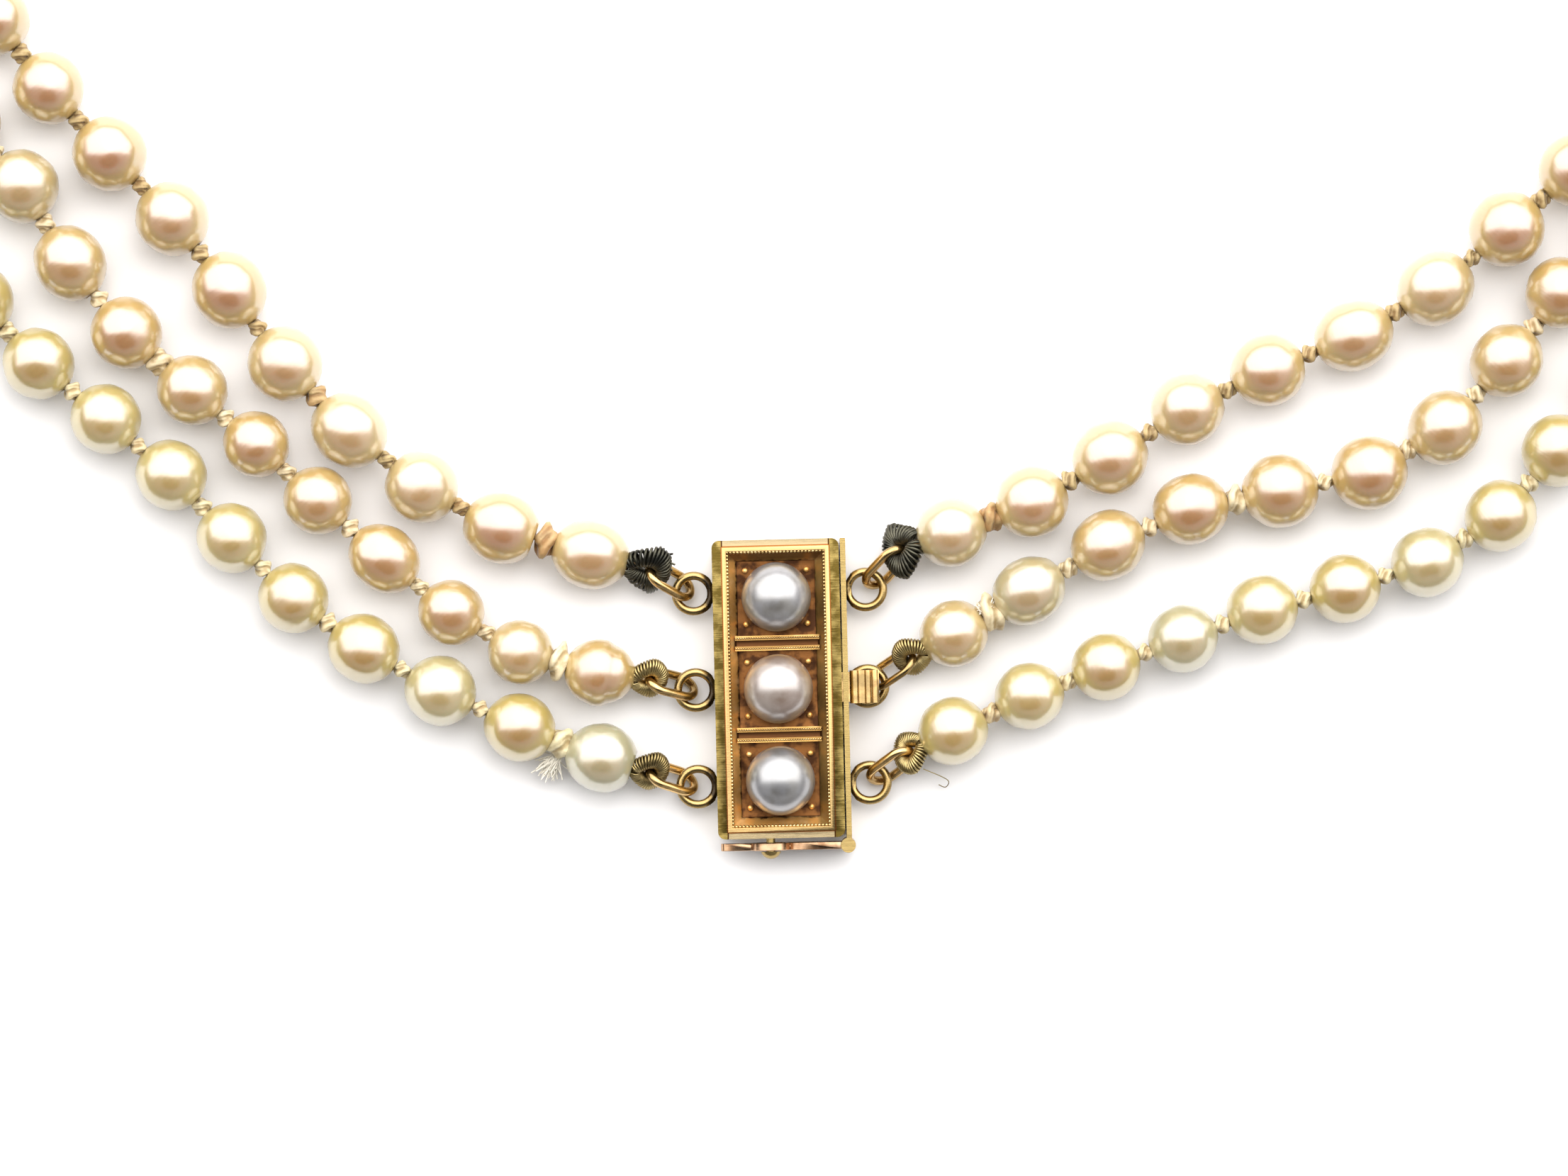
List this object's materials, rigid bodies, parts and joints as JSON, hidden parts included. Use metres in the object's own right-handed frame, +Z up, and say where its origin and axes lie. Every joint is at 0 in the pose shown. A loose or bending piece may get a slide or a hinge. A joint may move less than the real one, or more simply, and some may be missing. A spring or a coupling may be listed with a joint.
{
  "type": "multi strand necklace",
  "caption": "Pearl necklace of three knotted strands on one gold box clasp set with grey pearls, lying flat as a closed loop",
  "frame": {"origin": "middle of the footprint, on the surface that the necklace lies on", "axes": "+Z up from the surface, +Y from the clasp's side to the back of the loop, +X to the right seen from above with the clasp nearest"},
  "size_m": [0.1672, 0.1652, 0.0065],
  "materials": {
    "gold": "worn polished gold with brown tarnish in the hollows",
    "grey_pearl": "silver grey nacre",
    "pearl_inner": "cream nacre with a pink overtone",
    "pearl_middle": "cream nacre with a pink gold overtone",
    "pearl_outer": "cream nacre with a green gold overtone",
    "tan_silk": "twisted silk thread, aged tan",
    "cream_silk": "twisted silk thread, cream",
    "gimp_wire": "fine coiled wire, dull olive brass",
    "tarnished_wire": "fine coiled wire, tarnished almost black"
  },
  "bodies": {
    "necklace": {"clasp_case": "gold", "clasp_tongue": "gold", "ring_left_inner": "gold", "ring_left_middle": "gold", "ring_left_outer": "gold", "ring_right_inner": "gold", "ring_right_middle": "gold", "ring_right_outer": "gold", "grey_pearl_top": "grey_pearl", "grey_pearl_middle": "grey_pearl", "grey_pearl_bottom": "grey_pearl", "gimp_left_inner": "tarnished_wire", "gimp_right_inner": "tarnished_wire", "gimp_left_middle": "gimp_wire", "gimp_left_outer": "gimp_wire", "gimp_right_middle": "gimp_wire", "gimp_right_outer": "gimp_wire", "pearls_inner": "pearl_inner", "pearls_middle": "pearl_middle", "pearls_outer": "pearl_outer", "silk_inner": "tan_silk", "silk_middle": "cream_silk", "silk_outer": "cream_silk"},
    "press": {"clasp_press": "gold"},
    "catch": {"safety_catch": "gold"}
  },
  "joints": [
    {"name": "press_spring", "type": "hinge", "parent": "necklace", "child": "press", "pos_m": [-0.00918, -0.0712, 0.00275], "axis": [0, 1, 0], "range_deg": [0, 4.5], "stiffness_Nm_per_rad": 0.02},
    {"name": "safety_catch_hinge", "type": "hinge", "parent": "necklace", "child": "catch", "pos_m": [-0.00255, -0.0818, 0.00215], "axis": [0, 0, 1], "range_deg": [0, 110]}
  ]
}
